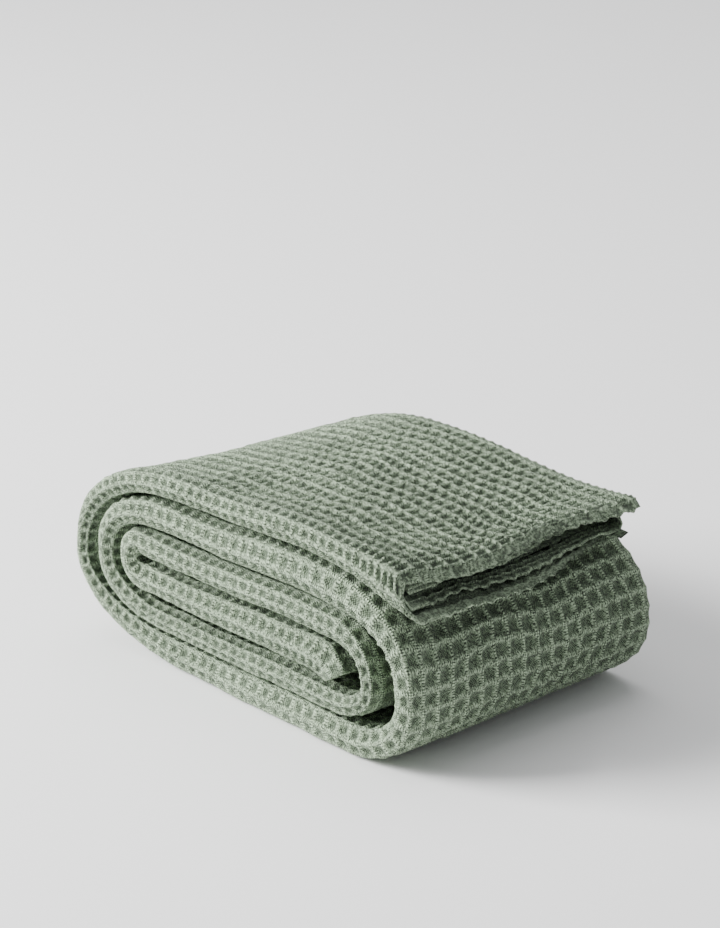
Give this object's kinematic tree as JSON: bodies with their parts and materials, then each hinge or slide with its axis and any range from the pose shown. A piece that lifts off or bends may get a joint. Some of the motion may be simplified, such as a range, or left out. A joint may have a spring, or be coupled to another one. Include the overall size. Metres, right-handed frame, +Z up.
{
  "type": "folded and rolled waffle weave blanket",
  "caption": "Waffle weave cotton blanket folded lengthwise and rolled up flat, lying on its underside with its outer end loose on top; a soft bed cover or throw",
  "frame": {"origin": "centre of the bounding box in plan, at the height of the resting underside", "axes": "+X along the length of the flattened roll towards its loose outer end, +Y along the axis of the roll from the folded front rim to the back, +Z up"},
  "size_m": [0.4548, 0.2986, 0.196],
  "materials": {
    "sage_cotton": "matt waffle weave cotton, sage green"
  },
  "bodies": {
    "root": {"blanket": "sage_cotton"}
  },
  "joints": []
}
